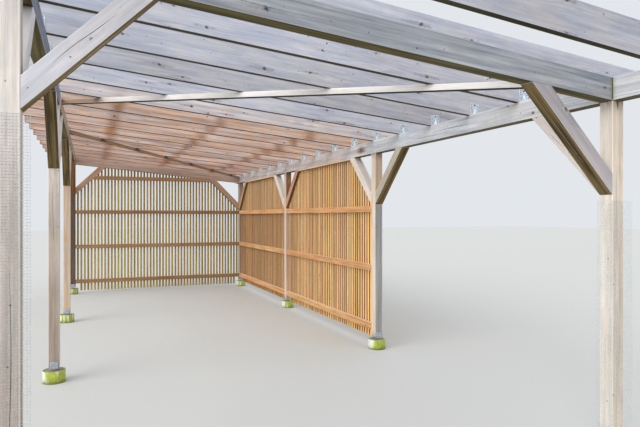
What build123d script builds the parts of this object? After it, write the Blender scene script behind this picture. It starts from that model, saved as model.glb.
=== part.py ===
from build123d import *
from math import ceil, cos, radians, tan
import os

os.makedirs("parts", exist_ok=True)

# Driving sizes in mm
post_size = 98
bay_length = 3190
bay_count = 3
clear_width = 3350
right_underside = 2305
roof_angle = 5.1

beam_depth = 148
beam_past_joist = 50
beam_joint_gap = 2

joist_spacing = 600
joist_thickness = 48
joist_depth = 198
joist_overhang = 430
front_overhang = 385

brace_size = 98
brace_drop = 605
wind_batten = 48
wind_start_front = 1090
wind_start_rear = 1034
wind_inset_front = 70
wind_inset_rear = 25

footing_radius = 100
footing_wall = 8
footing_height = 115
core_recess = 5
post_foot = 140
anchor_plate = 5
anchor_width = 70
anchor_leg = 60
anchor_stem = 22

rail_height = 73
rail_thickness = 48
rail_foot = 215
rail_step = 698
right_rail_count = 3
rear_rail_count = 4
top_batten = 22
slat_width = 36
slat_thickness = 21
slat_pitch = 64
right_slat_foot = 120
rear_slat_foot = 60
footing_clearance = 8
anchor_clearance = 4
pane_thickness = 4

bracket_width = 90
bracket_leg = 105
bracket_foot = 95
bracket_plate = 3
bracket_rib = 16
bracket_rib_reach = 40

mesh_cell_width = 156
mesh_cell_height = 160
mesh_columns = 2
mesh_wire = 3
mesh_clearance = 20
mesh_left_flap = 38
mesh_right_flap = 145

# Positions that follow from the sizes
slope = tan(radians(roof_angle))
half_clear = clear_width / 2
half_outer = half_clear + post_size
post_x = half_clear + post_size / 2
joist_count = ceil((front_overhang + bay_length * bay_count) / joist_spacing) + 1
first_joist = -joist_spacing * (joist_count - 1) / 2
joist_rows_y = [first_joist + joist_spacing * n for n in range(joist_count)]
front_row = first_joist + front_overhang
post_rows_y = [front_row + bay_length * n for n in range(bay_count + 1)]
post_places = [(x, y) for x in (-post_x, post_x) for y in post_rows_y]
beam_half = -first_joist + joist_thickness / 2 + beam_past_joist
right_top = right_underside + beam_depth
left_top = right_top + slope * (half_clear + half_outer)
left_underside = left_top - beam_depth
brace_run = brace_size * 2**0.5
joist_reach = half_outer + joist_overhang
joist_rise = joist_depth / cos(radians(roof_angle))
batten_rise = wind_batten / cos(radians(roof_angle))
core_top = footing_height - core_recess
anchor_top = post_foot + anchor_leg
corner_width = footing_radius - post_size / 2 + footing_clearance
corner_height = anchor_top + anchor_clearance


def joist_line(x):
    """Height of the joists' lower edge at x."""
    return right_top + slope * (half_clear - x)


def cross_underside(x):
    """Height of the underside of the sloping cross beams at x."""
    return joist_line(x) - beam_depth


def upright(x, y, top):
    """One square post from its anchor plate to the beam."""
    with BuildPart() as piece:
        with BuildSketch(Plane.XY.offset(post_foot)):
            with Locations((x, y)):
                Rectangle(post_size, post_size)
        extrude(amount=top - post_foot)
    return piece


def side_beam(x, underside, y_low, y_high):
    """One length of a side beam, lying on the post tops."""
    with BuildPart() as piece:
        with BuildSketch(Plane.XY.offset(underside)):
            with Locations((x, (y_low + y_high) / 2)):
                Rectangle(post_size, y_high - y_low)
        extrude(amount=beam_depth)
    return piece


def cross_beam(y):
    """One sloping beam between the side beams, cut plumb at both ends."""
    with BuildPart() as piece:
        with BuildSketch(Plane.XZ.offset(-y)):
            with BuildLine():
                Polyline(
                    (-half_clear, cross_underside(-half_clear)),
                    (half_clear, cross_underside(half_clear)),
                    (half_clear, joist_line(half_clear)),
                    (-half_clear, joist_line(-half_clear)),
                    close=True,
                )
            make_face()
        extrude(amount=post_size / 2, both=True)
    return piece


# Posts
posts = {}
for n, y in enumerate(post_rows_y):
    posts[f"post_left_{n + 1}"] = upright(-post_x, y, left_underside)
    posts[f"post_right_{n + 1}"] = upright(post_x, y, right_underside)
for label, piece in posts.items():
    piece.part.label = label
    export_step(piece.part, f"parts/{label}.step")

# Side beams, each in two lengths that meet over the second post
joint_y = post_rows_y[1]
beams = {
    "side_beam_left_front": side_beam(
        -post_x, left_underside, -beam_half, joint_y - beam_joint_gap / 2
    ),
    "side_beam_left_rear": side_beam(
        -post_x, left_underside, joint_y + beam_joint_gap / 2, beam_half
    ),
    "side_beam_right_front": side_beam(
        post_x, right_underside, -beam_half, joint_y - beam_joint_gap / 2
    ),
    "side_beam_right_rear": side_beam(
        post_x, right_underside, joint_y + beam_joint_gap / 2, beam_half
    ),
    "cross_beam_front": cross_beam(post_rows_y[0]),
    "cross_beam_rear": cross_beam(post_rows_y[-1]),
}
for label, piece in beams.items():
    piece.part.label = label
    export_step(piece.part, f"parts/{label}.step")

# Joists on edge with level seats cut where they rest on the side beams
with BuildPart() as joists:
    for y in joist_rows_y:
        with BuildSketch(Plane.XZ.offset(-y)):
            with BuildLine():
                Polyline(
                    (-joist_reach, joist_line(-joist_reach)),
                    (-half_outer, left_top),
                    (-half_clear, left_top),
                    (-half_clear, joist_line(-half_clear)),
                    (half_clear, right_top),
                    (half_outer, right_top),
                    (half_outer, joist_line(half_outer)),
                    (joist_reach, joist_line(joist_reach)),
                    (joist_reach, joist_line(joist_reach) + joist_rise),
                    (-joist_reach, joist_line(-joist_reach) + joist_rise),
                    close=True,
                )
            make_face()
        extrude(amount=joist_thickness / 2, both=True)
joists.part.label = "joists"
export_step(joists.part, "parts/joists.step")


def side_braces(x, underside):
    """The 45 degree braces between the posts and one side beam."""
    foot = underside - brace_drop
    with BuildPart() as piece:
        for y in post_rows_y:
            for way in (-1, 1):
                if (y, way) in ((post_rows_y[0], -1), (post_rows_y[-1], 1)):
                    continue
                face = y + way * post_size / 2
                with BuildSketch(Plane.YZ.offset(x)):
                    with BuildLine():
                        Polyline(
                            (face, foot),
                            (face + way * brace_drop, underside),
                            (face + way * (brace_drop - brace_run), underside),
                            (face, foot + brace_run),
                            close=True,
                        )
                    make_face()
                extrude(amount=brace_size / 2, both=True)
    return piece


# Where the end braces meet the posts and the sloping cross beams
end_foot_left = cross_underside(-half_clear) - brace_drop
end_foot_right = cross_underside(half_clear) - brace_drop
end_run_left = brace_drop / (1 + slope)
end_run_right = brace_drop / (1 - slope)
end_inner_left = (brace_drop - brace_run) / (1 + slope)
end_inner_right = (brace_drop - brace_run) / (1 - slope)


def end_braces(y):
    """The two braces under one cross beam."""
    with BuildPart() as piece:
        with BuildSketch(Plane.XZ.offset(-y)):
            with BuildLine():
                Polyline(
                    (-half_clear, end_foot_left),
                    (-half_clear + end_run_left, end_foot_left + end_run_left),
                    (-half_clear + end_inner_left, cross_underside(-half_clear + end_inner_left)),
                    (-half_clear, end_foot_left + brace_run),
                    close=True,
                )
            make_face()
            with BuildLine():
                Polyline(
                    (half_clear, end_foot_right),
                    (half_clear - end_run_right, end_foot_right + end_run_right),
                    (half_clear - end_inner_right, cross_underside(half_clear - end_inner_right)),
                    (half_clear, end_foot_right + brace_run),
                    close=True,
                )
            make_face()
        extrude(amount=brace_size / 2, both=True)
    return piece


# Knee braces
braces = {
    "knee_braces_left": side_braces(-post_x, left_underside),
    "knee_braces_right": side_braces(post_x, right_underside),
    "knee_braces_front": end_braces(post_rows_y[0]),
    "knee_braces_rear": end_braces(post_rows_y[-1]),
}
for label, piece in braces.items():
    piece.part.label = label
    export_step(piece.part, f"parts/{label}.step")


def wind_brace(start_y, end_y, inset):
    """A diagonal batten under the joists, from a side beam to a corner."""
    rise = (end_y - start_y) / (clear_width - inset)
    half_strip = wind_batten / 2 * (1 + rise**2) ** 0.5
    far_y = start_y + rise * clear_width
    with BuildPart() as piece:
        with BuildSketch(Plane.XZ.offset(-start_y)):
            with BuildLine():
                Polyline(
                    (-half_clear, joist_line(-half_clear)),
                    (half_clear, joist_line(half_clear)),
                    (half_clear, joist_line(half_clear) - batten_rise),
                    (-half_clear, joist_line(-half_clear) - batten_rise),
                    close=True,
                )
            make_face()
        extrude(amount=abs(end_y - start_y), both=True)
        with BuildSketch(Plane.XY.offset(right_underside)):
            with BuildLine():
                Polyline(
                    (-half_clear, start_y - half_strip),
                    (half_clear, far_y - half_strip),
                    (half_clear, far_y + half_strip),
                    (-half_clear, start_y + half_strip),
                    close=True,
                )
            make_face()
        extrude(amount=left_top - right_underside, mode=Mode.INTERSECT)
    return piece


# Diagonal wind braces
wind_braces = {
    "wind_brace_front": wind_brace(
        -wind_start_front, post_rows_y[0] + post_size / 2, wind_inset_front
    ),
    "wind_brace_rear": wind_brace(
        wind_start_rear, post_rows_y[-1] - post_size / 2, wind_inset_rear
    ),
}
for label, piece in wind_braces.items():
    piece.part.label = label
    export_step(piece.part, f"parts/{label}.step")


def slatted_wall(plane, outline, slat_foot, rails, batten_foot=None):
    """Rails with upright slats nailed to their outer side.

    Local x runs along the wall, local y is up and local z points outwards
    from the inner face of the rails. The outline is the clear space between
    the posts, the braces and the beam, and it trims the wall's upper corners.
    """
    low = min(point[0] for point in outline)
    high = max(point[0] for point in outline)
    top = max(point[1] for point in outline)
    slat_count = int((high - low - slat_width) // slat_pitch) + 1
    with BuildPart() as piece:
        with BuildSketch(plane.offset(rail_thickness)):
            for n in range(slat_count):
                offset = (n - (slat_count - 1) / 2) * slat_pitch
                at_post = abs(offset) + slat_width / 2 > (high - low) / 2 - corner_width
                foot = corner_height if at_post else slat_foot
                with Locations(((low + high) / 2 + offset, foot)):
                    Rectangle(slat_width, top - foot, align=(Align.CENTER, Align.MIN))
        extrude(amount=slat_thickness)
        with BuildSketch(plane):
            for foot in rails:
                with Locations((low, foot)):
                    Rectangle(high - low, rail_height, align=(Align.MIN, Align.MIN))
            if batten_foot:
                with Locations((low, batten_foot)):
                    Rectangle(high - low, top_batten, align=(Align.MIN, Align.MIN))
        extrude(amount=rail_thickness)
        with BuildSketch(plane):
            with BuildLine():
                Polyline(*outline, close=True)
            make_face()
        extrude(amount=post_size, mode=Mode.INTERSECT)
    return piece


def wind_panes(plane, outline, rails, last_top):
    """Clear sheets between the rails, lying against the slats."""
    low = min(point[0] for point in outline)
    high = max(point[0] for point in outline)
    tops = rails[1:3] + [last_top]
    with BuildPart() as piece:
        with BuildSketch(plane.offset(rail_thickness - pane_thickness)):
            for foot, top in zip(rails, tops):
                with Locations((low, foot + rail_height)):
                    Rectangle(high - low, top - foot - rail_height, align=(Align.MIN, Align.MIN))
        extrude(amount=pane_thickness)
        with BuildSketch(plane):
            with BuildLine():
                Polyline(*outline, close=True)
            make_face()
        extrude(amount=post_size, mode=Mode.INTERSECT)
    return piece


# Slatted walls and their wind panes
walls = {}
right_rails = [rail_foot + rail_step * n for n in range(right_rail_count)]
rear_rails = [rail_foot + rail_step * n for n in range(rear_rail_count)]
right_brace_foot = right_underside - brace_drop
right_plane = Plane((half_clear, 0, 0), x_dir=(0, 1, 0), z_dir=(1, 0, 0))
for place, n in (("middle", 1), ("rear", 2)):
    low = post_rows_y[n] + post_size / 2
    high = post_rows_y[n + 1] - post_size / 2
    outline = [
        (low, 0),
        (high, 0),
        (high, right_brace_foot),
        (high - brace_drop, right_underside),
        (low + brace_drop, right_underside),
        (low, right_brace_foot),
    ]
    batten_foot = right_underside - top_batten
    walls[f"right_wall_{place}"] = slatted_wall(
        right_plane, outline, right_slat_foot, right_rails, batten_foot
    )
    walls[f"right_panes_{place}"] = wind_panes(right_plane, outline, right_rails, batten_foot)

rear_plane = Plane(
    (0, post_rows_y[-1] - post_size / 2, 0), x_dir=(-1, 0, 0), z_dir=(0, 1, 0)
)
rear_outline = [
    (-half_clear, 0),
    (half_clear, 0),
    (half_clear, end_foot_left),
    (half_clear - end_run_left, end_foot_left + end_run_left),
    (-half_clear + end_run_right, end_foot_right + end_run_right),
    (-half_clear, end_foot_right),
]
walls["rear_wall"] = slatted_wall(rear_plane, rear_outline, rear_slat_foot, rear_rails)
walls["rear_panes"] = wind_panes(rear_plane, rear_outline, rear_rails, rear_rails[3])
for label, piece in walls.items():
    piece.part.label = label
    export_step(piece.part, f"parts/{label}.step")


def joist_brackets(x, top):
    """One ribbed angle bracket for each joist on one side beam."""
    with BuildPart() as piece:
        for n, y in enumerate(joist_rows_y):
            way = 1 if n == 0 else -1
            face = y + way * joist_thickness / 2
            with BuildSketch(Plane.YZ.offset(x)):
                with BuildLine():
                    Polyline(
                        (face, top),
                        (face + way * bracket_foot, top),
                        (face + way * bracket_foot, top + bracket_plate),
                        (face + way * bracket_plate, top + bracket_plate),
                        (face + way * bracket_plate, top + bracket_leg),
                        (face, top + bracket_leg),
                        close=True,
                    )
                make_face()
            extrude(amount=bracket_width / 2, both=True)
            with BuildSketch(Plane.YZ.offset(x)):
                with BuildLine():
                    Polyline(
                        (face + way * bracket_plate, top + bracket_plate),
                        (face + way * bracket_rib_reach, top + bracket_plate),
                        (face + way * bracket_plate, top + bracket_rib_reach),
                        close=True,
                    )
                make_face()
            extrude(amount=bracket_rib / 2, both=True)
    return piece


# Joist brackets
brackets = {
    "joist_brackets_left": joist_brackets(-post_x, left_top),
    "joist_brackets_right": joist_brackets(post_x, right_top),
}
for label, piece in brackets.items():
    piece.part.label = label
    export_step(piece.part, f"parts/{label}.step")

# Post anchors, a saddle on a short stem
with BuildPart() as post_anchors:
    for x, y in post_places:
        low = y - post_size / 2
        high = y + post_size / 2
        with BuildSketch(Plane.YZ.offset(x)):
            with BuildLine():
                Polyline(
                    (low - anchor_plate, post_foot - anchor_plate),
                    (high + anchor_plate, post_foot - anchor_plate),
                    (high + anchor_plate, anchor_top),
                    (high, anchor_top),
                    (high, post_foot),
                    (low, post_foot),
                    (low, anchor_top),
                    (low - anchor_plate, anchor_top),
                    close=True,
                )
            make_face()
        extrude(amount=anchor_width / 2, both=True)
        with BuildSketch(Plane.XY.offset(core_top)):
            with Locations((x, y)):
                Rectangle(anchor_stem, anchor_stem)
        extrude(amount=post_foot - anchor_plate - core_top)
post_anchors.part.label = "post_anchors"
export_step(post_anchors.part, "parts/post_anchors.step")

# Footings, a pipe collar filled with concrete
with BuildPart() as footing_collars:
    with BuildSketch():
        with Locations(post_places):
            Circle(footing_radius)
            Circle(footing_radius - footing_wall, mode=Mode.SUBTRACT)
    extrude(amount=footing_height)
footing_collars.part.label = "footing_collars"
export_step(footing_collars.part, "parts/footing_collars.step")

with BuildPart() as footing_cores:
    with BuildSketch():
        with Locations(post_places):
            Circle(footing_radius - footing_wall)
    extrude(amount=core_top)
footing_cores.part.label = "footing_cores"
export_step(footing_cores.part, "parts/footing_cores.step")


def climber_mesh(x_low, brace_foot):
    """A welded wire panel stapled to the front face of a post."""
    width = mesh_cell_width * mesh_columns
    mesh_foot = anchor_top + mesh_clearance
    rows = int((brace_foot - mesh_foot) // mesh_cell_height)
    height = mesh_cell_height * rows
    with BuildPart() as piece:
        with BuildSketch(Plane.XZ.offset(post_size / 2 - post_rows_y[0])):
            with Locations((x_low + width / 2, mesh_foot + height / 2)):
                with GridLocations(mesh_cell_width, 0, mesh_columns + 1, 1):
                    Rectangle(mesh_wire, height + mesh_wire)
                with GridLocations(0, mesh_cell_height, 1, rows + 1):
                    Rectangle(width + mesh_wire, mesh_wire)
        extrude(amount=mesh_wire)
    return piece


# Wire mesh for climbing plants
meshes = {
    "climber_mesh_left": climber_mesh(
        mesh_left_flap - half_clear - mesh_cell_width * mesh_columns, end_foot_left
    ),
    "climber_mesh_right": climber_mesh(half_clear - mesh_right_flap, end_foot_right),
}
for label, piece in meshes.items():
    piece.part.label = label
    export_step(piece.part, f"parts/{label}.step")
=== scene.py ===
import math
import random

import bmesh
import bpy
from mathutils import Matrix, Vector
from mathutils.noise import noise


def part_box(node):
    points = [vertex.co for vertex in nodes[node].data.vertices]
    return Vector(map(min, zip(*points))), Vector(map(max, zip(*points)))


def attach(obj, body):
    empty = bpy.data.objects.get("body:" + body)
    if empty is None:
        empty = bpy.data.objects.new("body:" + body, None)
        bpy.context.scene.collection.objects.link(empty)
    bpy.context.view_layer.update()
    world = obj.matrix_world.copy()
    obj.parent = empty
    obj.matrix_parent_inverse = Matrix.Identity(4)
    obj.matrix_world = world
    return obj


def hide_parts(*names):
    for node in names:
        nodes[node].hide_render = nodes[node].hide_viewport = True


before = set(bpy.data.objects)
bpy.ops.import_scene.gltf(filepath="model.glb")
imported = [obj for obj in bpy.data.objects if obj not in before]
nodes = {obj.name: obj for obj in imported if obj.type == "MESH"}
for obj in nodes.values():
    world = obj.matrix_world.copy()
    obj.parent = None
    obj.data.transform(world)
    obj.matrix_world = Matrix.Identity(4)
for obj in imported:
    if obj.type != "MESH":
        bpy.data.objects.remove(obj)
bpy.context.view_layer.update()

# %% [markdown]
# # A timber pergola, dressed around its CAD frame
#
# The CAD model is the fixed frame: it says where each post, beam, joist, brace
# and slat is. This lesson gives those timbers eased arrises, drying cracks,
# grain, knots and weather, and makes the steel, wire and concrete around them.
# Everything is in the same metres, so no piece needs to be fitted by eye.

print("CAD nodes:", len(nodes))

# %% [markdown]
# ## Sizes that the looks need
#
# Most places are read from the frame. A few sizes can't be read from a box,
# such as how far apart the slats are, so they are named here in metres, as the
# CAD source names them in millimetres.

# %% Sizes in metres
post_size = 0.098
beam_depth = 0.148
brace_drop = 0.605
rail_height = 0.073
rail_thickness = 0.048
rail_foot = 0.215
rail_step = 0.698
top_batten = 0.022
slat_width = 0.036
slat_thickness = 0.021
slat_pitch = 0.064
side_slat_foot = 0.120
rear_slat_foot = 0.060
anchor_plate = 0.005
joist_thickness = 0.048
joist_spacing = 0.600
joist_count = 18
roof_slope = math.tan(math.radians(5.1))

# Slats as near to a post as this stop higher up, to clear its footing and anchor
corner_width = 0.059
corner_slat_foot = 0.204

post_rows = [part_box(f"post_right_{n}")[0].y + post_size / 2 for n in (1, 2, 3, 4)]
half_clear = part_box("post_right_1")[0].x
post_x = half_clear + post_size / 2
right_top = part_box("side_beam_right_front")[1].z
left_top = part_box("side_beam_left_front")[1].z
joist_rows = [joist_spacing * (n - (joist_count - 1) / 2) for n in range(joist_count)]
print("post rows at y:", [round(y, 3) for y in post_rows], "clear width:", round(2 * half_clear, 3))

# %% [markdown]
# ## The camera
#
# The photograph was taken at eye height, level, from between the two front
# posts and close to the left one. Matching the posts' and joists' edges gave
# the lens and place below. The small shift is there because the photograph's
# horizon is three pixels under its middle.

# %% The camera at the photograph's viewpoint
photo_width, photo_height = 640, 427
focal_pixels = 553.119
horizon_pixel = 216.124
camera_data = bpy.data.cameras.new("viewpoint")
camera_data.sensor_width = 36
camera_data.lens = focal_pixels / photo_width * 36
camera_data.shift_y = (horizon_pixel - photo_height / 2) / photo_width
camera_data.clip_end = 200
camera = bpy.data.objects.new("viewpoint", camera_data)
camera.location = (-1.41427, -7.310872, 1.563377)
camera.rotation_euler = (math.radians(90), 0, math.radians(-22.612))
bpy.context.scene.collection.objects.link(camera)
bpy.context.scene.camera = camera
print("lens:", round(camera_data.lens, 2), "mm")

# %% [markdown]
# ## Colour and node helpers
#
# A colour is picked as an sRGB hex value, as a paint chart gives it, but the
# renderer adds up light in linear values. One function does the change. The
# other adds a shader node with its settings and links, which keeps each
# material short enough to read. Settings that come back often have a name.

# %% Helpers for materials
COLOUR = {"data_type": "RGBA"}
SHADE = {"data_type": "RGBA", "blend_type": "MULTIPLY"}
SMOOTH = {"interpolation_type": "SMOOTHSTEP"}
TIMES = {"operation": "MULTIPLY"}
LESS = {"operation": "SUBTRACT"}
TIMES_PLUS = {"operation": "MULTIPLY_ADD"}
LARGER = {"operation": "MAXIMUM"}
SMALLER = {"operation": "MINIMUM"}
ZIGZAG = {"operation": "PINGPONG"}
ABSOLUTE = {"operation": "ABSOLUTE"}
DIVIDED = {"operation": "DIVIDE"}
OVER = {"operation": "GREATER_THAN"}
LENGTH = {"operation": "LENGTH"}
SCALED = {"operation": "SCALE"}
FLAT = {"voronoi_dimensions": "2D"}


def linear(hex_colour):
    """The linear colour of an sRGB hex value."""
    parts = [int(hex_colour[n : n + 2], 16) / 255 for n in (1, 3, 5)]
    return tuple(c / 12.92 if c <= 0.04045 else ((c + 0.055) / 1.055) ** 2.4 for c in parts) + (1.0,)


def add(tree, kind, settings=None, inputs=None):
    """Adds a shader node. Nodes and sockets are linked to its inputs, and values and hex colours set."""
    node = tree.nodes.new("ShaderNode" + kind)
    for name, value in (settings or {}).items():
        setattr(node, name, value)
    for name, value in (inputs or {}).items():
        if isinstance(value, bpy.types.Node):
            value = [s for s in value.outputs if s.enabled][0]
        if isinstance(value, bpy.types.NodeSocket):
            tree.links.new(value, node.inputs[name])
        elif isinstance(value, str):
            node.inputs[name].default_value = linear(value)
        else:
            node.inputs[name].default_value = value
    return node


def new_material(name):
    """An empty material with only its output, and its node tree."""
    material = bpy.data.materials.new(name)
    material.use_nodes = True
    tree = material.node_tree
    tree.nodes.clear()
    return material, tree


print("mid grey is linear", round(linear("#808080")[0], 3))

# %% [markdown]
# ## Light and floor
#
# The photograph has the even light of a thin overcast sky, with a little more
# from the front left. A pale world does most of that work. One very wide sun
# gives the timbers a lit and a shaded side, and its width keeps the shadows
# soft. The floor is plain and pale.

# %% World, lamp and floor
world = bpy.data.worlds.new("overcast sky")
world.use_nodes = True
sky = world.node_tree
sky.nodes.clear()
rays = add(sky, "LightPath")
seen = add(sky, "Math", LARGER, {0: rays.outputs["Is Camera Ray"], 1: rays.outputs["Is Glossy Ray"]})
seen = add(sky, "Math", LARGER, {0: seen, 1: rays.outputs["Is Transmission Ray"]})
plain = add(sky, "Background", None, {"Color": "#E3E7EC", "Strength": 1.0})
light = add(sky, "Background", None, {"Color": "#F0F4FA", "Strength": 0.92})
pick = add(sky, "MixShader", None, {0: seen, 1: light, 2: plain})
add(sky, "OutputWorld", None, {"Surface": pick})
bpy.context.scene.world = world

sun_data = bpy.data.lights.new("thin cloud", "SUN")
sun_data.energy = 1.9
sun_data.angle = math.radians(55)
sun_data.color = (1.0, 0.975, 0.93)
sun = bpy.data.objects.new("thin cloud", sun_data)
toward_sun = Vector((-0.82, -0.36, 0.52))
sun.rotation_euler = toward_sun.to_track_quat("Z", "Y").to_euler()
bpy.context.scene.collection.objects.link(sun)

floor_mesh = bpy.data.meshes.new("floor")
bm = bmesh.new()
bmesh.ops.create_grid(bm, x_segments=1, y_segments=1, size=60)
bm.to_mesh(floor_mesh)
bm.free()
floor = bpy.data.objects.new("floor", floor_mesh)
bpy.context.scene.collection.objects.link(floor)
floor_finish, tree = new_material("pale studio floor")
surface = add(
    tree, "BsdfPrincipled", None,
    {"Base Color": "#D5D5D2", "Roughness": 0.95, "Specular IOR Level": 0.1},
)
add(tree, "OutputMaterial", None, {"Surface": surface})
floor_mesh.materials.append(floor_finish)
bpy.context.scene.view_settings.view_transform = "Standard"
print("floor is", [round(v) for v in floor.dimensions[:2]], "m across")

# %% [markdown]
# ## Weathered pine
#
# The timber is planed, pressure-treated pine. New, it is yellow-green. Rain
# and sun bleach its fronts and tops to silver, the undersides keep the
# treatment's olive brown, painted darker here as shade, and the sheltered rear
# stays tan. What the eye sees, from large to small: the weather's patches,
# streaks along the grain, annual rings about 6 mm apart, knots about 20 mm wide, and dark specks.
#
# A solid texture suits wood, because rings are tubes that run along a board
# and show as lines on its sides and arcs on its ends. So each timber carries
# its own place in three attributes: grain (its own coordinates, in metres),
# ends (distance from both ends, and a number of its own) and facing (which
# way each face looks, in the board's own directions).

# %% The marks that the tree left
def tree_marks(t, knots):
    """Streaks, rings, knots and specks of a board, and where it looks, as sockets by name."""
    place = add(t, "Attribute", {"attribute_name": "grain"}).outputs["Vector"]
    ends = add(t, "Attribute", {"attribute_name": "ends"}).outputs["Vector"]
    facing = add(t, "Attribute", {"attribute_name": "facing"}).outputs["Vector"]
    ends, facing = [add(t, "SeparateXYZ", None, {0: vector}).outputs for vector in (ends, facing)]
    spot = add(t, "TexCoord").outputs["Object"]
    looks = add(t, "SeparateXYZ", None, {0: add(t, "NewGeometry").outputs["Normal"]}).outputs
    where = add(t, "SeparateXYZ", None, {0: spot}).outputs

    # Streaks run 0.8 m along the grain and 30 mm across it, the fine grain is 4 mm across
    long_place = add(t, "Mapping", None, {"Vector": place, "Scale": (1.2, 30, 30)})
    streak = add(t, "TexNoise", None, {"Vector": long_place, "Scale": 1.0, "Detail": 5.0, "Roughness": 0.62})
    fine_place = add(t, "Mapping", None, {"Vector": place, "Scale": (8, 250, 250)})
    fine = add(t, "TexNoise", None, {"Vector": fine_place, "Scale": 1.0, "Detail": 2.0})
    patch = add(t, "TexNoise", None, {"Vector": spot, "Scale": 2.6, "Detail": 4.0, "Roughness": 0.65})

    # The face that is looked at, as a flat place along and across the grain
    parts = add(t, "SeparateXYZ", None, {0: place}).outputs
    narrow = add(t, "Math", OVER, {0: facing["Y"], 1: 0.6})
    side = add(t, "Mix", None, {0: narrow, 2: parts["Y"], 3: parts["Z"]})
    flat = add(t, "CombineXYZ", None, {0: parts["X"], 1: side})
    uneven = add(t, "TexNoise", {"noise_dimensions": "2D"}, {"Vector": flat, "Scale": 45.0, "Detail": 3.0})
    nudge = add(t, "VectorMath", SCALED, {0: uneven.outputs["Color"], 3: 0.016})
    flat = add(t, "VectorMath", None, {0: flat, 1: nudge})
    oval = add(t, "Mapping", None, {"Vector": flat, "Scale": (0.75, 1, 1)})

    # Knots lie about 0.3 m apart and are up to 30 mm wide, with a dark core and a darker rim
    knot_scale = 3.1 * knots
    cells = add(t, "TexVoronoi", FLAT, {"Vector": oval, "Scale": knot_scale})
    chance = add(t, "SeparateXYZ", None, {0: cells.outputs["Color"]}).outputs
    size = add(t, "MapRange", None, {0: chance["X"], 1: 0.35, 2: 1.0, 3: -0.014 * knots, 4: 0.043 * knots})
    beyond = add(t, "Math", LESS, {0: cells.outputs["Distance"], 1: size})
    knot = add(t, "MapRange", SMOOTH, {0: beyond, 1: -0.010, 2: 0.010, 3: 1.0, 4: 0.0})
    core_reach = add(t, "Math", TIMES_PLUS, {0: size, 1: 0.4, 2: beyond})
    core = add(t, "MapRange", SMOOTH, {0: core_reach, 1: -0.012, 2: 0.006, 3: 1.0, 4: 0.0})
    rim = add(t, "Math", ZIGZAG, {0: knot, 1: 0.5})
    halo = add(t, "MapRange", SMOOTH, {0: beyond, 1: 0.0, 2: 0.05, 3: 1.0, 4: 0.0})
    halo = add(t, "Math", LESS, {0: halo, 1: knot})

    # Resin darkens the grain for a hand's width on both sides of a knot
    from_knot = add(t, "VectorMath", LESS, {0: oval, 1: cells.outputs["Position"]})
    drawn = add(t, "Mapping", None, {"Vector": from_knot, "Scale": (0.12, 1.0, 1)})
    drawn = add(t, "VectorMath", LENGTH, {0: drawn})
    less_size = add(t, "Math", TIMES, {0: size, 1: -1.0})
    past = add(t, "Math", TIMES_PLUS, {0: drawn, 1: knot_scale, 2: less_size})
    resin = add(t, "MapRange", SMOOTH, {0: past, 1: -0.02, 2: 0.03, 3: 1.0, 4: 0.0})
    in_knots = add(t, "MapRange", None, {0: size, 1: 0.0, 2: 0.02})
    in_lines = add(t, "MapRange", None, {0: fine, 1: 0.3, 2: 0.6, 3: 0.4, 4: 1.0})
    resin = add(t, "Math", TIMES, {0: resin, 1: in_knots})
    resin = add(t, "Math", TIMES, {0: resin, 1: in_lines})
    cloud_place = add(t, "Mapping", None, {"Vector": place, "Scale": (4, 14, 14)})
    cloud = add(
        t, "TexNoise", None,
        {"Vector": cloud_place, "Scale": 1.0, "Detail": 4.0, "Roughness": 0.6, "Distortion": 0.6},
    )

    # Pin knots and nail specks, 2 to 6 mm wide
    dots = add(t, "TexVoronoi", FLAT, {"Vector": flat, "Scale": 8.0})
    dot_chance = add(t, "SeparateXYZ", None, {0: dots.outputs["Color"]}).outputs
    dot_size = add(t, "MapRange", None, {0: dot_chance["Y"], 1: 0.5, 2: 1.0, 3: 0.0, 4: 0.045})
    speck = add(t, "Math", {"operation": "LESS_THAN"}, {0: dots.outputs["Distance"], 1: dot_size})

    # Rings bend round the knots, wander slowly along the board and fade in and out
    slow_place = add(t, "Mapping", None, {"Vector": place, "Scale": (1.1, 5, 5)})
    wander = add(t, "TexNoise", None, {"Vector": slow_place, "Scale": 1.0, "Detail": 2.0})
    drift = add(t, "VectorMath", SCALED, {0: wander.outputs["Color"], 3: 0.06})
    lift = add(t, "MapRange", SMOOTH, {0: cells.outputs["Distance"], 1: 0.0, 2: 0.2, 3: 0.018, 4: 0.0})
    bent = add(t, "VectorMath", None, {0: place, 1: drift})
    bent = add(t, "VectorMath", None, {0: bent, 1: add(t, "CombineXYZ", None, {1: lift, 2: lift})})
    ring_place = add(t, "Mapping", None, {"Vector": bent, "Scale": (0.02, 1, 1)})
    ring_shape = {"wave_type": "RINGS", "rings_direction": "X"}
    wave = add(
        t, "TexWave", ring_shape,
        {"Vector": ring_place, "Scale": 52.0, "Distortion": 2.2, "Detail": 2.5, "Detail Scale": 1.5},
    )
    clear = add(t, "MapRange", None, {0: wander, 1: 0.42, 2: 0.62, 3: 0.15, 4: 1.0})
    rings = add(t, "Math", TIMES, {0: wave, 1: clear})
    return {
        "ends": ends, "facing": facing, "looks": looks, "where": where, "place": place,
        "streak": streak, "fine": fine, "patch": patch, "knot": knot, "core": core, "rim": rim,
        "halo": halo, "resin": resin, "cloud": cloud, "speck": speck, "rings": rings, "wave": wave,
    }


print("marks: streaks, fine grain, patches, knots, resin, specks and rings")
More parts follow.
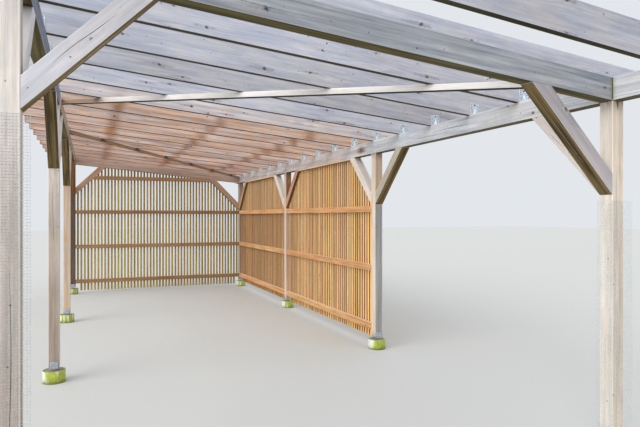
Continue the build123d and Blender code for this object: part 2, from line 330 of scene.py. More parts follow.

# %% [markdown]
# ## What the weather adds, and painted shade
#
# The posts of one pergola come from one yard, but the rain reaches each of
# them differently. Each kind of weathering, and each painted shade, is a small
# function that returns the paint to lay over a board, so a finish is a base
# colour and a list of what happened to it and of the shade painted on it.

# %% Kinds of weathering and of painted shade
def sheltered(start, full, light, dark, until=None):
    """Out of the rain, past a ragged line across the roof, timber keeps a tan colour."""
    def paint(t, face, m):
        tan = add(t, "Mix", COLOUR, {0: m["streaks"], 6: light, 7: dark})
        warmth = add(t, "MapRange", SMOOTH, {0: m["cloud"], 1: 0.42, 2: 0.6, 4: 0.8})
        tan = add(t, "Mix", SHADE, {0: warmth, 6: tan, 7: "#FAEBDA"})
        ragged = add(t, "Math", TIMES_PLUS, {0: m["patch"], 1: -0.3, 2: m["where"]["Y"]})
        dry = add(t, "MapRange", SMOOTH, {0: ragged, 1: start - 0.15, 2: full - 0.15})
        if until:
            rear_end = {0: m["where"]["Y"], 1: until, 2: until + 0.04, 3: 1.0, 4: 0.0}
            dry = add(t, "Math", TIMES, {0: dry, 1: add(t, "MapRange", None, rear_end)})
        m["dry"] = add(t, "Math", LARGER, {0: m.get("dry", 0.0), 1: dry})
        return add(t, "Mix", COLOUR, {0: dry, 6: face, 7: tan})
    return paint


def brown_bands(first, spacing, width, colour):
    """Brown bands across the front faces of sheltered timber, every so far across."""
    def paint(t, face, m):
        across = add(t, "Math", LESS, {0: m["where"]["X"], 1: first - 10 * spacing})
        away = add(t, "Math", ZIGZAG, {0: across, 1: spacing / 2})
        wavy = add(t, "Math", TIMES_PLUS, {0: m["cloud"], 1: -0.12, 2: away})
        mark = add(t, "MapRange", SMOOTH, {0: wavy, 1: -0.06, 2: width - 0.06, 3: 1.0, 4: 0.0})
        faint = add(t, "MapRange", None, {0: m["patch"], 1: 0.35, 2: 0.6, 3: 0.2, 4: 0.85})
        mark = add(t, "Math", TIMES, {0: mark, 1: faint})
        mark = add(t, "Math", TIMES, {0: mark, 1: m["dry"]})
        front = add(t, "MapRange", None, {0: m["looks"]["Y"], 1: -0.5, 2: -0.9})
        mark = add(t, "Math", TIMES, {0: mark, 1: front})
        return add(t, "Mix", COLOUR, {0: mark, 6: face, 7: colour})
    return paint


def crossing_marks(first, spacing, colour):
    """Dark marks on sheltered timber where it crosses each of the joists."""
    def paint(t, face, m):
        past = add(t, "Math", LESS, {0: m["where"]["Y"], 1: first})
        away = add(t, "Math", ZIGZAG, {0: past, 1: spacing / 2})
        away = add(t, "Math", TIMES_PLUS, {0: m["fine"], 1: -0.08, 2: away})
        mark = add(t, "MapRange", SMOOTH, {0: away, 1: -0.02, 2: 0.03, 3: 0.85, 4: 0.0})
        mark = add(t, "Math", TIMES, {0: mark, 1: m["dry"]})
        return add(t, "Mix", COLOUR, {0: mark, 6: face, 7: colour})
    return paint


def old_knot(place, height, length, depth, stain, heart):
    """One dark knot right through a beam, with a brown stain round it."""
    def paint(t, face, m):
        aside = add(t, "Math", LESS, {0: m["where"]["Y"], 1: place})
        aside = add(t, "Math", DIVIDED, {0: aside, 1: length})
        above = add(t, "Math", LESS, {0: m["where"]["Z"], 1: height})
        above = add(t, "Math", DIVIDED, {0: above, 1: depth})
        away = add(t, "VectorMath", LENGTH, {0: add(t, "CombineXYZ", None, {0: aside, 1: above})})
        away = add(t, "Math", TIMES_PLUS, {0: m["fine"], 1: 1.0, 2: away})
        wide = add(t, "MapRange", SMOOTH, {0: away, 1: 0.9, 2: 2.1, 3: 0.9, 4: 0.0})
        face = add(t, "Mix", SHADE, {0: wide, 6: face, 7: stain})
        core = add(t, "MapRange", SMOOTH, {0: away, 1: 0.6, 2: 1.1, 3: 0.9, 4: 0.0})
        return add(t, "Mix", COLOUR, {0: core, 6: face, 7: heart})
    return paint


def painted_shade_side(axis, way, colour, region=None):
    """Painted shade, a darker tint, on the faces towards one side. region is (axis, middle, half) where it
    is so, or None.
    """
    def paint(t, face, m):
        toward = add(t, "Math", TIMES, {0: m["looks"][axis], 1: way})
        amount = add(t, "MapRange", SMOOTH, {0: toward, 1: 0.5, 2: 0.9})
        if region:
            near = add(t, "Math", LESS, {0: m["where"][region[0]], 1: region[1]})
            near = add(t, "Math", ABSOLUTE, {0: near})
            inside = add(t, "MapRange", SMOOTH, {0: near, 1: region[2] + 0.03, 2: region[2] - 0.03})
            amount = add(t, "Math", TIMES, {0: amount, 1: inside})
        return add(t, "Mix", SHADE, {0: amount, 6: face, 7: colour})
    return paint


def darker_along(axis, start, full, colour, below=None):
    """A darker tint that grows along one direction, at every height or only below one. Several finishes use
    it as painted shade.
    """
    def paint(t, face, m):
        amount = add(t, "MapRange", SMOOTH, {0: m["where"][axis], 1: start, 2: full})
        if below:
            low = add(t, "MapRange", None, {0: m["where"]["Z"], 1: below + 0.03, 2: below - 0.03})
            amount = add(t, "Math", TIMES, {0: amount, 1: low})
        return add(t, "Mix", SHADE, {0: amount, 6: face, 7: colour})
    return paint


def damp_ends(amount, reach, colour):
    """Dark drips that start at both ends, where rain runs off the joint above and splashes below."""
    def paint(t, face, m):
        near = add(t, "Math", SMALLER, {0: m["ends"]["X"], 1: m["ends"]["Y"]})
        drip_place = add(t, "Mapping", None, {"Vector": m["place"], "Scale": (2, 55, 55)})
        drips = add(t, "TexNoise", None, {"Vector": drip_place, "Scale": 1.0, "Detail": 2.0})
        level = add(t, "Math", TIMES_PLUS, {0: near, 1: -0.18 / reach, 2: drips})
        mark = add(t, "MapRange", SMOOTH, {0: level, 1: 0.34, 2: 0.62, 4: amount})
        damp = add(t, "MapRange", SMOOTH, {0: near, 1: 0.0, 2: reach * 3, 3: 0.3, 4: 0.0})
        mark = add(t, "Math", LARGER, {0: mark, 1: damp})
        at_end = add(t, "MapRange", SMOOTH, {0: near, 1: reach, 2: reach * 3, 3: 1.0, 4: 0.0})
        mark = add(t, "Math", TIMES, {0: mark, 1: at_end})
        return add(t, "Mix", COLOUR, {0: mark, 6: face, 7: colour})
    return paint


def joint_stain(axis, place, reach, colour):
    """Algae beside a butt joint, yellow-green and darkest in the joint itself."""
    def paint(t, face, m):
        away = add(t, "Math", LESS, {0: m["where"][axis], 1: place})
        away = add(t, "Math", ABSOLUTE, {0: away})
        wide = add(t, "MapRange", SMOOTH, {0: away, 1: reach * 0.2, 2: reach, 3: 0.8, 4: 0.0})
        face = add(t, "Mix", SHADE, {0: wide, 6: face, 7: colour})
        tight = add(t, "MapRange", SMOOTH, {0: away, 1: 0.002, 2: 0.008, 3: 0.8, 4: 0.0})
        return add(t, "Mix", COLOUR, {0: tight, 6: face, 7: "#4E4D2C"})
    return paint


def rained_side(axis, way, amount, colour):
    """The outer side takes the rain, so it has lost some of its colour."""
    def paint(t, face, m):
        toward = add(t, "Math", TIMES, {0: m["looks"][axis], 1: way})
        lost = add(t, "MapRange", SMOOTH, {0: toward, 1: 0.5, 2: 0.9, 4: amount})
        return add(t, "Mix", COLOUR, {0: lost, 6: face, 7: colour})
    return paint


def side_shade(colour):
    """Painted shade on the narrow sides of a board, which see little light between it and the next."""
    def paint(t, face, m):
        narrow = add(t, "MapRange", SMOOTH, {0: m["facing"]["Y"], 1: 0.5, 2: 0.9})
        return add(t, "Mix", SHADE, {0: narrow, 6: face, 7: colour})
    return paint


print("kinds of weathering: 10")

# %% The pine finish
PLAIN = ("#FFFFFF", "#FFF8F0")


def pine(
    name, light, dark, warm, under, end, weather_and_shade=(), top="#A3A3A0", knot="#7A6C60",
    knots=1.0, variety=0.1, tints=PLAIN, dry_under=None,
):
    """Weathered pine. light and dark are its streaks, under is the same pair for undersides."""
    material, t = new_material(name)
    m = tree_marks(t, knots)
    m["streaks"] = add(t, "MapRange", None, {0: m["streak"], 1: 0.36, 2: 0.68})
    face = add(t, "Mix", COLOUR, {0: m["streaks"], 6: light, 7: dark})
    patches = add(t, "MapRange", None, {0: m["patch"], 1: 0.45, 2: 0.75, 4: 0.6})
    face = add(t, "Mix", COLOUR, {0: patches, 6: face, 7: warm})
    for paint in weather_and_shade:
        face = paint(t, face, m)

    # Each board has its own tone, and the grain and knots show through all of it
    own = add(t, "MapRange", None, {0: m["ends"]["Z"], 3: 1.0 - variety, 4: 1.0 + variety})
    face = add(t, "HueSaturation", None, {"Color": face, "Value": own})
    hue = add(t, "Math", TIMES, {0: m["ends"]["Z"], 1: 51.27})
    hue = add(t, "Math", {"operation": "FRACT"}, {0: hue})
    hue = add(t, "Math", TIMES, {0: hue, 1: 0.7})
    hue = add(t, "Math", TIMES_PLUS, {0: m["cloud"], 1: 2.0, 2: hue})
    hue = add(t, "MapRange", None, {0: hue, 1: 0.85, 2: 1.85})
    tint = add(t, "Mix", COLOUR, {0: hue, 6: tints[0], 7: tints[1]})
    face = add(t, "Mix", SHADE, {0: 1.0, 6: face, 7: tint})
    cloud_shade = add(t, "MapRange", SMOOTH, {0: m["cloud"], 1: 0.36, 2: 0.64, 3: 0.93, 4: 1.05})
    ring_shade = add(t, "MapRange", None, {0: m["rings"], 3: 1.03, 4: 0.88})
    fine_shade = add(t, "MapRange", None, {0: m["fine"], 1: 0.3, 2: 0.7, 3: 0.93, 4: 1.05})
    grain_shade = add(t, "Math", TIMES, {0: fine_shade, 1: cloud_shade})
    grain_shade = add(t, "Math", TIMES, {0: ring_shade, 1: grain_shade})
    face = add(t, "Mix", SHADE, {0: 1.0, 6: face, 7: grain_shade})
    for mask, amount, colour in (
        ("halo", 0.25, light), ("resin", 0.42, knot), ("knot", 0.4, knot),
        ("rim", 0.8, "#4E4238"), ("core", 0.8, "#3C322C"), ("speck", 0.7, "#34302E"),
    ):
        share = add(t, "Math", TIMES, {0: m[mask], 1: amount})
        face = add(t, "Mix", COLOUR, {0: share, 6: face, 7: colour})

    # Undersides keep the treatment's colour, painted darker as shade too. Tops take their own colour, the
    # greyest on weathered timber and a pale painted highlight on the rails, and worn arrises are the palest
    under_streaks = add(t, "MapRange", SMOOTH, {0: m["streak"], 1: 0.38, 2: 0.62})
    under_face = add(t, "Mix", COLOUR, {0: under_streaks, 6: under[0], 7: under[1]})
    if dry_under:
        dry_face = add(t, "Mix", COLOUR, {0: under_streaks, 6: dry_under[0], 7: dry_under[1]})
        under_face = add(t, "Mix", COLOUR, {0: m["dry"], 6: under_face, 7: dry_face})
    below = add(t, "MapRange", SMOOTH, {0: m["looks"]["Z"], 1: -0.35, 2: -0.6})
    under_face = add(t, "Mix", SHADE, {0: 1.0, 6: under_face, 7: grain_shade})
    face = add(t, "Mix", COLOUR, {0: below, 6: face, 7: under_face})
    above = add(t, "MapRange", None, {0: m["looks"]["Z"], 1: 0.6, 2: 0.9, 4: 0.75})
    face = add(t, "Mix", COLOUR, {0: above, 6: face, 7: top})
    corner = add(t, "Math", SMALLER, {0: m["facing"]["Y"], 1: m["facing"]["Z"]})
    worn = add(t, "MapRange", None, {0: corner, 1: 0.1, 2: 0.35, 4: 0.6})
    worn = add(t, "Math", TIMES, {0: worn, 1: add(t, "Math", LESS, {0: 1.0, 1: below})})
    face = add(t, "Mix", COLOUR, {0: worn, 6: face, 7: light})

    # End grain drinks rain, so it is darker and shows the rings
    cut_end = add(t, "Math", OVER, {0: m["facing"]["X"], 1: 0.6})
    end_rings = add(t, "MapRange", None, {0: m["wave"], 3: 0.72, 4: 1.12})
    end_face = add(t, "Mix", SHADE, {0: 1.0, 6: end, 7: end_rings})
    face = add(t, "Mix", COLOUR, {0: cut_end, 6: face, 7: end_face})

    height = add(t, "Math", TIMES_PLUS, {0: m["rings"], 1: -0.25, 2: m["fine"]})
    height = add(t, "Math", TIMES_PLUS, {0: m["streak"], 1: 0.2, 2: height})
    bump = add(t, "Bump", None, {"Height": height, "Strength": 0.4, "Distance": 0.001})
    rough = add(t, "MapRange", None, {0: m["streak"], 1: 0.3, 2: 0.7, 3: 0.74, 4: 0.9})
    surface = add(
        t, "BsdfPrincipled", None,
        {"Base Color": face, "Roughness": rough, "Normal": bump, "Specular IOR Level": 0.3},
    )
    add(t, "OutputMaterial", None, {"Surface": surface})
    return material


# %% [markdown]
# ## Where each finish goes
#
# Each family of timbers has its own colours, changed until spots on it looked
# like the photograph's: cream posts, silver beams and joists, tan timbers past
# the second posts, golden slats at the side and olive ones at the rear.

# %% Finishes for posts, beams and joists
front_row = post_rows[0] - post_size / 2
brace_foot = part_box("post_right_2")[1].z - brace_drop
# Underside pairs: the treatment's olive brown, painted darker as shade
post_under = ("#8C7446", "#5A4729")
beam_under = ("#665C34", "#443E22")
joist_under = ("#4A4228", "#2E2916")
brace_under = ("#8E7850", "#54401F")

# Rear posts keep their tan out of the rain, and the last row is painted darker as shade
post_rear = (sheltered(-0.8, 0.8, "#E5D8C9", "#CBB9AA"), darker_along("Y", 3.4, 4.6, "#CEC9C2"))
post_damp = damp_ends(0.85, 0.04, "#3F3018")
# Painted shade: inner_side darkens the faces towards the right, and the posts' front faces are painted a
# little darker too
inner_side = painted_shade_side("X", 1, "#DAD4CE")
post_pine = pine(
    "silvered pine posts", "#FCF5EC", "#D9CDBF", "#E9DDCB", post_under, "#8A7A65",
    post_rear + (inner_side, painted_shade_side("Y", -1, "#F6F0E9"), post_damp), variety=0.03,
)
near_post_pine = pine(
    "silvered pine near posts", "#FDF7F3", "#D8CFC6", "#E9E0D5", post_under, "#8A7A65",
    (
        inner_side, darker_along("Z", 2.0, 1.4, "#DFDBD7"), darker_along("Z", 1.2, 0.8, "#ECE8E4"),
        darker_along("Y", -4.0, -2.5, "#ECE7E2"), post_damp,
    ),
    variety=0.03,
)
# The last left post stands in shade, and its dark colours are painted shade
shaded_post_pine = pine(
    "shaded pine post", "#6E5F4F", "#584738", "#64523F", post_under, "#8A7A65", (post_damp,), variety=0.03,
)
# The second right post: painted shade on its front, and below the brace foot a bluish grey that is partly
# weathering, partly painted shade
grey_and_shaded_front = painted_shade_side("Y", -1, "#C2DEFF", ("Z", brace_foot / 2, brace_foot / 2))
grey_and_shaded_post_pine = pine(
    "greyed and shaded pine post", "#F8EEE2", "#D8C9B8", "#E6D6BF", post_under, "#8A7A65",
    (painted_shade_side("Y", -1, "#ECDDD0"), grey_and_shaded_front, post_damp), variety=0.03,
)
# The third right post: painted shade, brown, on its front from the brace foot to the beam
brown_top_shade = painted_shade_side("Y", -1, "#BD986E", ("Z", brace_foot + brace_drop / 2, brace_drop / 2))
top_shaded_post_pine = pine(
    "pine post shaded brown at the top", "#FCF5EC", "#D9CDBF", "#E9DDCB", post_under, "#8A7A65",
    post_rear + (inner_side, painted_shade_side("Y", -1, "#F6F0E9"), brown_top_shade, post_damp),
    knot="#7A5C40", variety=0.03,
)
joint = joint_stain("Y", front_row, 0.035, "#ECEBD0")
# The left beams get painted shade, slate blue, on the front part of their inner faces
left_beam_pine = pine(
    "silvered pine left beams", "#E4E6EA", "#BFC2C8", "#D6CFC6", beam_under, "#8A7860",
    (painted_shade_side("X", 1, "#9AA0B2", ("Y", -3.4, 1.9)), sheltered(-1.7, -1.2, "#BAAAA5", "#A3918A"), joint),
    knots=1.5, variety=0.04,
)
right_beam_pine = pine(
    "silvered pine right beams", "#F6F8FC", "#BCC1CB", "#D8D3CA", beam_under, "#8A7860",
    (
        darker_along("Y", -4.4, -3.2, "#E5E9ED"),
        darker_along("Y", -1.5, -0.5, "#F8E9E2"),
        old_knot(place=-1.21, height=2.375, length=0.1, depth=0.042, stain="#BE9C7E", heart="#5A4234"),
        joint,
    ),
    knots=1.5, variety=0.03,
)
cross_joint = tuple(joint_stain("X", way * half_clear, 0.035, "#E0E0C4") for way in (1, -1))
cross_beam_pine = pine(
    "silvered pine cross beam", "#CAD0DA", "#8C94A2", "#B6B2B0", beam_under, "#8A7860", cross_joint,
    knot="#6A6A70", knots=1.9, variety=0.04,
)
rear_beam_pine = pine(
    "sheltered pine cross beam", "#D2BDB3", "#A89389", "#C6A896", ("#7A5C40", "#4C3826"), "#8A7860",
    variety=0.04,
)
# The joists' near-black undersides, and dry_under past the tan line, are partly painted shade
joist_pine = pine(
    "silvered pine joists", "#DADDE9", "#B7BBCC", "#D4D2D7", joist_under, "#94816A",
    (
        darker_along("X", -0.8, 1.4, "#F5F2F0"),
        sheltered(-1.75, -1.05, "#EAD5CC", "#B0958A"),
        brown_bands(-1.13, 1.12, 0.13, "#9C6E4C"),
        darker_along("Y", 1.8, 4.2, "#E9E4E2"),
    ),
    knot="#5E5048", knots=2.2, variety=0.15, tints=("#F8FBFF", "#FFF7EA"), dry_under=("#48301E", "#2A1A0F"),
)
print("frame finishes:", len([m for m in bpy.data.materials if "pine" in m.name]))

# %% Finishes for braces, battens and walls
rear_braces = sheltered(1.62, 1.78, "#D5B7A0", "#B09279")
third_brace = sheltered(0.4, 0.7, "#D6B29A", "#B89278", until=1.64)
last_brace = sheltered(3.8, 4.1, "#D8BFAC", "#B69C86")
# The side brace in front of the second post gets painted shade on its face towards the left
side_brace_pine = pine(
    "silvered pine side braces", "#F1EBE7", "#DBD2CB", "#E4D8CC", brace_under, "#8A765C",
    (painted_shade_side("X", -1, "#D2D3C8", ("Y", -1.93, 0.35)), third_brace, last_brace),
    variety=0.04, dry_under=("#9A6A3E", "#6E4626"),
)
# The right front brace gets painted shade on its front face
end_brace_pine = pine(
    "silvered pine end braces", "#E9E9F0", "#D0D0D9", "#DFDBDC", ("#84704A", "#483A1E"), "#8A765C",
    (painted_shade_side("Y", -1, "#D4D1D2", ("X", 1.3, 0.6)), rear_braces),
    variety=0.03, dry_under=("#8A6440", "#5E4228"),
)
# The battens' near-black undersides are partly painted shade
batten_pine = pine(
    "treated pine battens", "#FBFBFB", "#EEEBE8", "#F2E9DB", ("#3A321A", "#261F10"), "#9A8050",
    (
        sheltered(-1.75, -1.35, "#DFC3A4", "#C5A482"), sheltered(0.2, 0.6, "#B8987E", "#90745A"),
        crossing_marks(joist_rows[0], joist_spacing, "#5E4028"),
    ),
    variety=0.03,
)
# The side rails' pale tops are a painted highlight
side_rail_pine = pine(
    "treated pine side rails", "#ECC294", "#C68E5C", "#CC7C52", ("#8A6640", "#6A4A2C"), "#9C7A54",
    top="#F2DEC4", knot="#A4643C", variety=0.1, tints=("#FFFFF2", "#FFE8D6"),
)
top_batten_pine = pine(
    "treated pine top battens", "#F2DCBA", "#D9B686", "#E0C092", ("#8A6640", "#6A4A2C"), "#9C7A54",
    variety=0.03,
)
# The rear rails are a darker copy of the side rails' colours, painted shade for the shaded rear wall, with
# pale tops as a painted highlight
rear_rail_pine = pine(
    "treated pine rear rails", "#B0926F", "#8B6D4E", "#A1805C", ("#74563A", "#5A4028"), "#8C6A44",
    top="#CDB28C", variety=0.25, tints=("#FFFBF0", "#FFECE0"),
)
# The side slats: painted shade on their narrow sides, yellower towards the front, darker towards the rear
# and more so below the top rail in the rear bay as painted shade, and greyer on the rained outer side
side_slat_pine = pine(
    "golden pine slats", "#FFECC4", "#E0B074", "#EFC48A", ("#A08048", "#7A5C30"), "#B08A54",
    (
        side_shade("#985A26"), darker_along("Y", 3.0, -1.5, "#FFF6D6"), darker_along("Y", -0.6, 3.6, "#E8E0D2"),
        darker_along("Y", 0.4, 2.2, "#DCCAAC", below=1.68), rained_side("X", 1, 0.45, "#BCAA92"),
    ),
    top="#C8A070", knot="#9A6430", variety=0.26, tints=("#FFFFF4", "#FFE6C8"),
)
# The rear slats' olive is partly painted shade for the shaded rear wall, and their narrow sides get more
# painted shade
rear_slat_pine = pine(
    "olive pine slats", "#BEA95F", "#927E3C", "#B5945F", ("#6A5730", "#4E4024"), "#7E6A40",
    (side_shade("#C8BC98"), rained_side("Y", 1, 0.4, "#A59A80")),
    top="#9A8860", knot="#5F4A24", variety=0.2, tints=("#F6FFE8", "#FFF0E0"),
)
print("pine finishes:", len([m for m in bpy.data.materials if "pine" in m.name]))

# %% [markdown]
# ## From a CAD solid to a real timber
#
# A CAD node comes in as loose triangles with knife-sharp edges. Planed timber
# has eased arrises, about 3 mm round, that catch the light, so a copy of the
# node is merged and its flat faces joined again, and then its edges are
# bevelled. Every loose part of the mesh is one timber. Its longest edge runs
# along the grain, which is enough to give it its own coordinates.

# %% Helpers for timbers
def clean_copy(name):
    """A copy of a CAD node's mesh with its triangles merged back to flat faces."""
    bm = bmesh.new()
    bm.from_mesh(nodes[name].data)
    bmesh.ops.remove_doubles(bm, verts=bm.verts, dist=1e-5)
    bmesh.ops.dissolve_limit(bm, angle_limit=math.radians(1), verts=bm.verts, edges=bm.edges)
    return bm


def timbers_in(bm):
    """The loose parts of a mesh, each a list of vertices, in order of their place."""
    bm.verts.ensure_lookup_table()
    bm.verts.index_update()
    seen = [False] * len(bm.verts)
    parts = []
    for start in bm.verts:
        if seen[start.index]:
            continue
        seen[start.index] = True
        part = [start]
        for vert in part:
            for edge in vert.link_edges:
                other = edge.other_vert(vert)
                if not seen[other.index]:
                    seen[other.index] = True
                    part.append(other)
        parts.append(part)
    return sorted(parts, key=lambda part: [round(min(v.co[k] for v in part), 1) for k in range(3)])


def grain_frame(part):
    """Directions along the grain, across the widest face and through it, with the faces of a timber."""
    edges = {e.index: e for v in part for e in v.link_edges}
    faces = {f.index: f for v in part for f in v.link_faces}
    longest = max(edges.values(), key=lambda e: (round(e.calc_length(), 5), -e.index))
    along = (longest.verts[1].co - longest.verts[0].co).normalized()
    if max(along, key=abs) < 0:
        along = -along
    widest = max(faces.values(), key=lambda f: (round(f.calc_area(), 5), -f.index))
    through = widest.normal.normalized()
    if max(through, key=abs) < 0:
        through = -through
    across = through.cross(along).normalized()
    return along, across, along.cross(across), list(faces.values())


def round_edges(bm, edges, radius, segments):
    """Rounds some edges of a mesh."""
    bmesh.ops.bevel(
        bm, geom=edges, offset=radius, segments=segments, profile=0.5,
        affect="EDGES", material=-1, clamp_overlap=True,
    )


def ease_arrises(bm, radius, segments=2):
    """Rounds the outer edges of every timber in a mesh."""
    sharp = [e for e in bm.edges if len(e.link_faces) == 2 and e.is_convex and e.calc_face_angle() > 0.35]
    round_edges(bm, sharp, radius, segments)


def verts_among(geometry):
    """The vertices in what a mesh operator returns."""
    return [g for g in geometry if isinstance(g, bmesh.types.BMVert)]


def write_grain(bm, seed):
    """Stores every timber's own place, the distance to its ends and where its faces look."""
    grain = bm.verts.layers.float_vector.new("grain")
    ends = bm.verts.layers.float_vector.new("ends")
    facing = bm.faces.layers.float_vector.new("facing")
    bm.edges.index_update()
    bm.faces.index_update()
    dice = random.Random(seed)
    parts = timbers_in(bm)
    for part in parts:
        along, across, through, faces = grain_frame(part)
        middle = sum((v.co for v in part), Vector()) / len(part)
        shift = Vector((dice.uniform(0, 60), dice.uniform(-0.09, 0.09), dice.uniform(0.05, 0.14)))
        number = dice.random()
        reach = [along.dot(v.co) for v in part]
        low, high = min(reach), max(reach)
        for vert, place in zip(part, reach):
            local = vert.co - middle
            vert[grain] = Vector((along.dot(local), across.dot(local), through.dot(local))) + shift
            vert[ends] = Vector((place - low, high - place, number))
        for face in faces:
            face[facing] = Vector([abs(axis.dot(face.normal)) for axis in (along, across, through)])
    return len(parts)


print("helpers ready for", len(nodes), "nodes")

# %% [markdown]
# ## Drying cracks
#
# A thick timber that holds the pith dries faster outside than inside, so it
# opens in long V-shaped cracks along the grain. They could be drawn in the
# material, but a crack that is cut into the mesh keeps its shadow from every
# side. Each cutter is a thin cube, subdivided along its length, pinched
# to a V and to both ends, and let wander a little. One boolean a node cuts
# them all.

# %% Cutting the drying cracks
def crack_cutter(bm, start, along, out, side, length, width, depth, dice):
    """Adds one thin wandering wedge to a mesh of cutters."""
    first = len(bm.verts)
    made = bmesh.ops.create_cube(bm, size=1.0)["verts"]
    long_edges = {e for v in made for e in v.link_edges if abs((e.verts[0].co - e.verts[1].co).x) > 0.5}
    long_edges = sorted(long_edges, key=lambda e: [round(c, 3) for c in (e.verts[0].co + e.verts[1].co)])
    bmesh.ops.subdivide_edges(bm, edges=long_edges, cuts=9)
    bm.verts.ensure_lookup_table()
    verts = bm.verts[first:]
    phase, swing = dice.uniform(0, 6), dice.uniform(0.002, 0.006)
    for vert in verts:
        run = vert.co.x + 0.5
        pinch = max(math.sin(math.pi * run), 0.0) ** 0.6 * 0.97 + 0.03
        half = width * pinch * (0.5 if vert.co.z > 0 else 0.08)
        sideways = math.copysign(half, vert.co.y) + swing * math.sin(phase + 5 * run)
        height = 0.004 if vert.co.z > 0 else -depth * pinch
        vert.co = start + along * (run * length) + side * sideways + out * height


def cut_away(solid, cutters):
    """Takes one mesh out of another with a boolean, and returns what is left."""
    objects = []
    for bm in (solid, cutters):
        mesh = bpy.data.meshes.new("cutting")
        bm.to_mesh(mesh)
        bm.free()
        thing = bpy.data.objects.new("cutting", mesh)
        bpy.context.scene.collection.objects.link(thing)
        objects.append(thing)
    cut = objects[0].modifiers.new("cut", "BOOLEAN")
    cut.operation = "DIFFERENCE"
    cut.solver = "EXACT"
    cut.object = objects[1]
    finished = objects[0].evaluated_get(bpy.context.evaluated_depsgraph_get())
    result = bpy.data.meshes.new_from_object(finished)
    left = bmesh.new()
    left.from_mesh(result)
    meshes = [thing.data for thing in objects] + [result]
    for thing in objects:
        bpy.data.objects.remove(thing)
    for mesh in meshes:
        bpy.data.meshes.remove(mesh)
    return left


def cut_cracks(bm, how_many, longest, seed):
    """Returns the mesh with drying cracks cut into the wide faces of its timbers."""
    dice = random.Random(seed)
    cutters = bmesh.new()
    bm.edges.index_update()
    bm.faces.index_update()
    for part in timbers_in(bm):
        along, across, through, _ = grain_frame(part)
        reach = [along.dot(v.co) for v in part]
        run = max(reach) - min(reach)
        middle = sum((v.co for v in part), Vector()) / len(part)
        middle += along * ((max(reach) + min(reach)) / 2 - along.dot(middle))
        sides = [across, -across, through, -through]
        dice.shuffle(sides)
        for out in sides[:how_many]:
            side = out.cross(along)
            half_depth = max(out.dot(v.co - middle) for v in part)
            half_side = max(side.dot(v.co - middle) for v in part)
            if half_side < 0.03:
                continue
            length = min(run * 0.6, dice.uniform(0.35, 1.0) * longest)
            first = dice.uniform(-run / 2 + 0.12, run / 2 - 0.12 - length)
            start = middle + along * first + out * half_depth + side * dice.uniform(-0.4, 0.4) * half_side
            width = dice.uniform(0.002, 0.0045)
            depth = dice.uniform(0.008, 0.015)
            crack_cutter(cutters, start, along, out, side, length, width, depth, dice)
    return cut_away(bm, cutters)


def add_piece(name, bm, materials, replaced=()):
    """Makes the finished object of a piece, riding on the one body."""
    mesh = bpy.data.meshes.new(name)
    bm.to_mesh(mesh)
    bm.free()
    for material in materials:
        mesh.materials.append(material)
    piece = bpy.data.objects.new(name, mesh)
    bpy.context.scene.collection.objects.link(piece)
    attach(piece, "root")
    if replaced:
        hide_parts(*replaced)
    return piece


def dress_timber(name, node, material, seed, cracks=0, longest=1.0, radius=0.003):
    """Turns one CAD node of timber into its finished piece."""
    bm = clean_copy(node)
    ease_arrises(bm, radius)
    if cracks:
        bm = cut_cracks(bm, cracks, longest, seed)
    count = write_grain(bm, seed)
    piece = add_piece(name, bm, [material], [node])
    print(f"{name}: {count} timbers, {len(piece.data.polygons)} faces")


# %% [markdown]
# ## The posts
#
# Eight square posts carry the roof. They are the thickest timbers, with the
# pith inside, so they have the most and the longest cracks. The damp at the
# top, where rain runs off the beam, and at the foot stains them dark.

# %% Posts
post_finishes = {
    "left_1": near_post_pine, "left_2": near_post_pine, "left_4": shaded_post_pine,
    "right_2": grey_and_shaded_post_pine, "right_3": top_shaded_post_pine,
}
for side in ("left", "right"):
    for n in (1, 2, 3, 4):
        finish = post_finishes.get(f"{side}_{n}", post_pine)
        dress_timber(
            f"{side}_post_{n}", f"post_{side}_{n}", finish,
            10 * n + len(side), cracks=4, longest=1.1, radius=0.005,
        )

# %% [markdown]
# ## Beams and joists
#
# The side beams lie level on the posts, in two lengths a side, and the cross
# beams slope between them. The joists stand on edge over them and are the
# thinnest for their depth, so they crack little.

# %% Beams and joists
side_beams = {
    f"side_beam_{side}_{end}": finish
    for side, finish in (("left", left_beam_pine), ("right", right_beam_pine))
    for end in ("front", "rear")
}
cross_beams = {"cross_beam_front": cross_beam_pine, "cross_beam_rear": rear_beam_pine}
for seed, (node, finish) in enumerate((side_beams | cross_beams).items()):
    dress_timber(f"{node}_timber", node, finish, 100 + seed, cracks=3)
# This seed was searched for, so that the joists' own tones vary about as in the photograph
joist_seed = 5900281
dress_timber("roof_joists", "joists", joist_pine, joist_seed, cracks=1, longest=0.9)

# %% [markdown]
# ## Knee braces and wind braces
#
# The knee braces stiffen every corner at 45 degrees. Their long cracks are
# the ones that show best in the photograph. The two wind braces are thin
# battens nailed diagonally under the joists.

# %% Braces
for seed, side in enumerate(("left", "right", "front", "rear")):
    finish = side_brace_pine if side == "right" else end_brace_pine
    dress_timber(
        f"{side}_knee_braces", f"knee_braces_{side}", finish,
        300 + seed, cracks=2, longest=0.5,
    )
for seed, end in enumerate(("front", "rear")):
    name = f"{end}_wind_brace"
    dress_timber(name, f"wind_brace_{end}", batten_pine, 320 + seed, radius=0.006)

# %% [markdown]
# ## The slatted walls
#
# Rails run level between the posts, flush with their inner faces, and slats
# are nailed upright to the rails' outer side with a gap a little narrower
# than a slat. Where a knee brace crosses, the slats are sawn along it. In the
# CAD source a wall is one solid. Here each rail and slat is its own board, so
# that each has its own grain and tone, as boards from different trees do.

